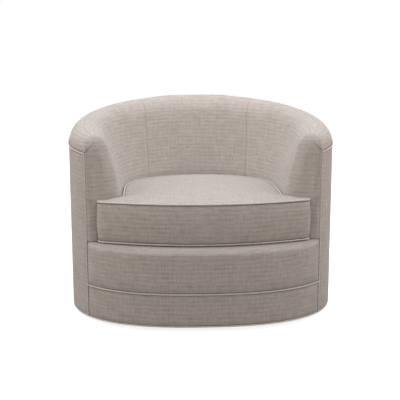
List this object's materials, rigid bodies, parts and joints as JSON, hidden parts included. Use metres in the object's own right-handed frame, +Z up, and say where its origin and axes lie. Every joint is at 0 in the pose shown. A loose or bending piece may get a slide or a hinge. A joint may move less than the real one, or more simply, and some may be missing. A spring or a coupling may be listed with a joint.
{
  "type": "swivel barrel chair",
  "caption": "Low round tub armchair in woven cloth with a crowned loose seat cushion, welted seams and a hidden round plinth with a ball-bearing swivel.",
  "frame": {"origin": "on the floor, at the middle of the overall width and depth, on the swivel's axis", "axes": "the chair faces -Y, +X is to the right seen from the front, +Z is up"},
  "size_m": [0.895, 0.83, 0.6796],
  "materials": {
    "linen_weave": "woven linen blend, greige, slightly slubbed, matt",
    "welt_cord": "the same linen weave, cut on the bias round a cord",
    "deck_cloth": "plain greige deck cloth, matt",
    "foam": "cream polyurethane foam with polyester wadding",
    "insulator_felt": "pressed fibre felt",
    "webbing": "woven jute and rubber strap",
    "black_cambric": "black dust cloth",
    "plywood": "birch plywood, unfinished, veneer edges",
    "hardwood": "kiln-dried hardwood, unfinished",
    "fibreboard": "thin flexible board, unfinished",
    "plinth": "plywood disc stained dark",
    "glide": "black nylon, matt",
    "nylon": "natural nylon",
    "plated_steel": "zinc-plated pressed steel",
    "screw_steel": "zinc-plated steel",
    "ball_steel": "polished bearing steel",
    "spring_steel": "blued spring wire",
    "nut_brass": "yellow-passivated steel"
  },
  "bodies": {
    "base": {"floor_glides": "glide", "plinth_board": "plinth", "swivel_lower_plate": "plated_steel", "lower_plate_screws": "screw_steel", "swivel_rivet": "screw_steel"},
    "ball_cage": {"bearing_balls": "ball_steel", "ball_retainer": "nylon"},
    "chair": {"swivel_upper_plate": "plated_steel", "upper_plate_bolts": "screw_steel", "tee_nuts": "nut_brass", "swivel_board": "plywood", "board_screws": "screw_steel", "base_panel": "plywood", "front_studs": "hardwood", "front_posts": "hardwood", "corner_blocks": "hardwood", "wall_ribs": "plywood", "seat_ring": "plywood", "top_rail": "plywood", "front_liner": "fibreboard", "outer_liner": "fibreboard", "webbing": "webbing", "seat_springs": "spring_steel", "spring_clips": "plated_steel", "spring_ties": "spring_steel", "spring_insulator": "insulator_felt", "deck_pad": "foam", "deck_cover": "deck_cloth", "inside_foam": "foam", "inside_back_cover": "linen_weave", "left_arm_cover": "linen_weave", "right_arm_cover": "linen_weave", "outside_cover": "linen_weave", "outside_welt": "welt_cord", "arm_front_welts": "welt_cord", "front_foam": "foam", "front_border": "linen_weave", "band_welt": "welt_cord", "base_band": "linen_weave", "hem_welt": "welt_cord", "dust_cover": "black_cambric"},
    "cushion": {"cushion_core": "foam", "cushion_top_panel": "linen_weave", "cushion_bottom_panel": "linen_weave", "cushion_boxing": "linen_weave", "cushion_zip_boxing": "linen_weave", "cushion_top_welt": "welt_cord", "cushion_bottom_welt": "welt_cord"}
  },
  "joints": [
    {"name": "seat_swivel", "type": "hinge", "parent": "base", "child": "chair", "pos_m": [0, 0, 0.0295], "axis": [0, 0, 1], "continuous": true},
    {"name": "cage_roll", "type": "hinge", "parent": "base", "child": "ball_cage", "pos_m": [0, 0, 0.0295], "axis": [0, 0, 1], "continuous": true},
    {"name": "cushion_lift", "type": "slide", "parent": "chair", "child": "cushion", "axis": [0, 0, 1], "range_m": [0, 0.5]}
  ],
  "couplings": [
    {"joint": "cage_roll", "follows": "seat_swivel", "ratio": 0.5}
  ]
}
